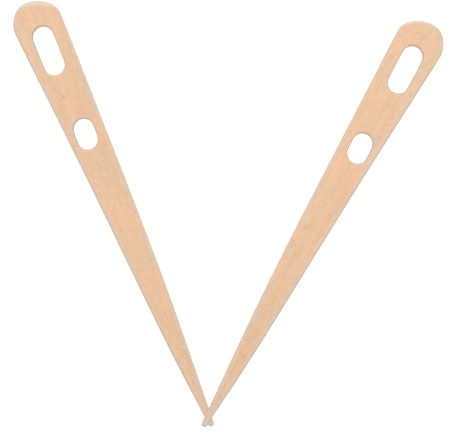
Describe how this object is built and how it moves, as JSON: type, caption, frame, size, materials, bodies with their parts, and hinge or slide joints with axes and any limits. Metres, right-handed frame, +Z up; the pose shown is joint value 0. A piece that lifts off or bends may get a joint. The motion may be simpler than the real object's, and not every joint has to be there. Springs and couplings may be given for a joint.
{
  "type": "weaving needle pair",
  "caption": "Pair of flat wooden weaving needles, each with a round head, a long eye, a short eye and a long taper to a blunt tip, laid in a V with the tips crossed.",
  "frame": {"origin": "middle of the pair's outline, on the surface that it lies on", "axes": "+Z up, out of the needles' faces; +Y from the crossed tips towards the heads; +X from the left needle to the right one"},
  "size_m": [0.1392, 0.1382, 0.0062],
  "materials": {
    "sanded_wood": "bare, finely sanded pale wood that looks like beech; the species is a guess"
  },
  "bodies": {
    "left": {"left_needle": "sanded_wood"},
    "right": {"right_needle": "sanded_wood"}
  },
  "joints": [
    {"name": "right_needle_lift", "type": "slide", "parent": "left", "child": "right", "axis": [0, 0, 1], "range_m": [0, 0.03]}
  ]
}
